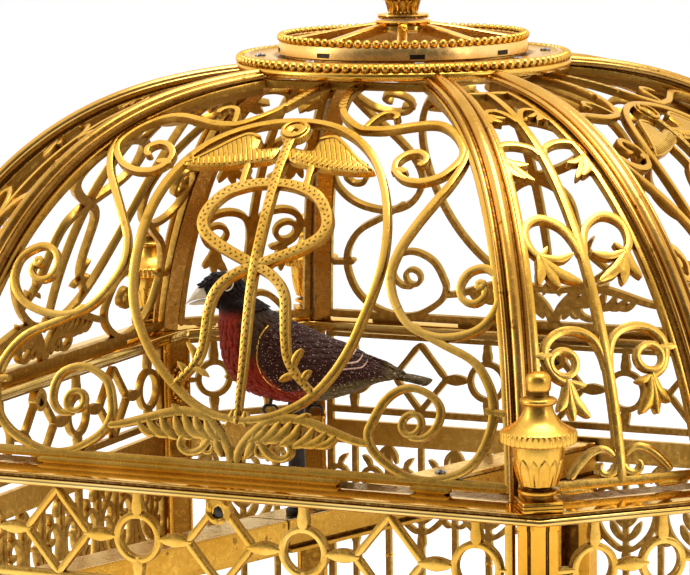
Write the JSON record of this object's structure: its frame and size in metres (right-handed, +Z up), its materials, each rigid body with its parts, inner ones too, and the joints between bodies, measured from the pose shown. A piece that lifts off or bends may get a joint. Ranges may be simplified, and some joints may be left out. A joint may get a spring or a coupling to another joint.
{
  "type": "singing bird automaton",
  "caption": "Octagonal gilt bird cage with a ribbed dome of pierced scrollwork, a singing bird on a post and a wound movement in the base.",
  "frame": {"origin": "centre of the base on the surface that the feet stand on", "axes": "+Z up along the cage's axis, -Y out of the front wide wall, +X to its right"},
  "size_m": [0.2896, 0.2896, 0.422],
  "materials": {
    "gilt_brass": "gilt brass, bright on the raised edges and brown in the recesses",
    "rib_brass": "gilt brass, a little darker and worn along the mouldings",
    "polished_brass": "polished gilt brass",
    "dark_steel": "blackened steel",
    "steel": "plain steel",
    "plumage_dark": "glossy dark brown paint with pale specks, red-brown on the breast",
    "plumage_olive": "olive brown paint",
    "ivory_beak": "pale ivory paint",
    "kid_leather": "thin pale leather",
    "walnut": "dark varnished wood"
  },
  "bodies": {
    "cage": {"base_plate": "gilt_brass", "base_case": "gilt_brass", "cage_floor": "gilt_brass", "wall_front": "gilt_brass", "wall_right": "gilt_brass", "wall_back": "gilt_brass", "wall_left": "gilt_brass", "corner_wall_front_right": "gilt_brass", "corner_wall_back_right": "gilt_brass", "corner_wall_back_left": "gilt_brass", "corner_wall_front_left": "gilt_brass", "cornice": "polished_brass", "urn_1": "gilt_brass", "urn_2": "gilt_brass", "urn_3": "gilt_brass", "urn_4": "gilt_brass", "urn_5": "gilt_brass", "urn_6": "gilt_brass", "urn_7": "gilt_brass", "urn_8": "gilt_brass", "dome_panel_front": "gilt_brass", "dome_panel_right": "gilt_brass", "dome_panel_back": "gilt_brass", "dome_panel_left": "gilt_brass", "dome_panel_front_right": "gilt_brass", "dome_panel_back_right": "gilt_brass", "dome_panel_back_left": "gilt_brass", "dome_panel_front_left": "gilt_brass", "dome_rib_front_right_a": "rib_brass", "dome_rib_back_right_a": "rib_brass", "dome_rib_back_left_a": "rib_brass", "dome_rib_front_left_a": "rib_brass", "dome_rib_front_right_b": "rib_brass", "dome_rib_back_right_b": "rib_brass", "dome_rib_back_left_b": "rib_brass", "dome_rib_front_left_b": "rib_brass", "crown_ring": "gilt_brass", "lantern": "polished_brass", "top_finial": "polished_brass", "cross_beam": "gilt_brass", "beam_cover": "polished_brass", "rod_channel": "gilt_brass", "bird_post": "dark_steel", "bird_body": "plumage_dark", "movement_frame": "polished_brass", "bellows_board": "walnut", "whistle_tube": "polished_brass", "bellows_leather": "kid_leather"},
    "head": {"bird_head": "plumage_dark"},
    "lower_beak": {"bird_lower_beak": "ivory_beak"},
    "tail": {"bird_tail": "plumage_olive"},
    "beak_push_rod": {"beak_rod": "steel"},
    "tail_push_rod": {"tail_rod": "steel"},
    "barrel": {"spring_barrel": "polished_brass"},
    "cams": {"cam_shaft": "steel"},
    "fly": {"fly_governor": "steel"},
    "key": {"winding_key": "steel"},
    "bellows": {"bellows_lid": "walnut"},
    "piston": {"whistle_piston": "steel"},
    "lever": {"start_lever": "polished_brass"}
  },
  "joints": [
    {"name": "head_turn", "type": "hinge", "parent": "cage", "child": "head", "pos_m": [-0.04236, -0.00972, 0.3105], "axis": [0, 0, 1], "range_deg": [-28, 28]},
    {"name": "beak_open", "type": "hinge", "parent": "head", "child": "lower_beak", "pos_m": [-0.05136, -0.0136, 0.3129], "axis": [0.3955, -0.9184, 0], "range_deg": [0, 16]},
    {"name": "tail_flick", "type": "hinge", "parent": "cage", "child": "tail", "pos_m": [-0.00645, 0.00574, 0.2924], "axis": [0.3955, -0.9184, 0], "range_deg": [-10, 12], "stiffness_Nm_per_rad": 0.004},
    {"name": "beak_rod_lift", "type": "slide", "parent": "cage", "child": "beak_push_rod", "axis": [0, 0, 1], "range_m": [0, 0.0012]},
    {"name": "tail_rod_lift", "type": "slide", "parent": "cage", "child": "tail_push_rod", "axis": [0, 0, 1], "range_m": [-0.001, 0.0012]},
    {"name": "barrel_turn", "type": "hinge", "parent": "cage", "child": "barrel", "pos_m": [0, 0, 0.03], "axis": [0, 0, 1], "continuous": true},
    {"name": "cam_turn", "type": "hinge", "parent": "cage", "child": "cams", "pos_m": [0.036, 0, 0.03], "axis": [0, 0, 1], "continuous": true},
    {"name": "fly_turn", "type": "hinge", "parent": "cage", "child": "fly", "pos_m": [0.06, 0, 0.03], "axis": [0, 0, 1], "continuous": true},
    {"name": "key_turn", "type": "hinge", "parent": "cage", "child": "key", "pos_m": [0, 0, 0.01], "axis": [0, 0, 1], "continuous": true},
    {"name": "bellows_breathe", "type": "hinge", "parent": "cage", "child": "bellows", "pos_m": [-0.054, 0, 0.0333], "axis": [0, 1, 0], "range_deg": [0, 12], "deforming": ["bellows_leather"]},
    {"name": "piston_slide", "type": "slide", "parent": "cage", "child": "piston", "axis": [1, 0, 0], "range_m": [-0.018, 0.01]},
    {"name": "lever_swing", "type": "hinge", "parent": "cage", "child": "lever", "pos_m": [0.134, 0, 0.057], "axis": [1, 0, 0], "range_deg": [0, 25]}
  ],
  "couplings": [
    {"joint": "beak_open", "follows": "beak_rod_lift", "rad_per_m": 232},
    {"joint": "tail_rod_lift", "follows": "tail_flick", "m_per_rad": 0.0057},
    {"joint": "cam_turn", "follows": "barrel_turn", "ratio": -3},
    {"joint": "fly_turn", "follows": "barrel_turn", "ratio": 9}
  ]
}
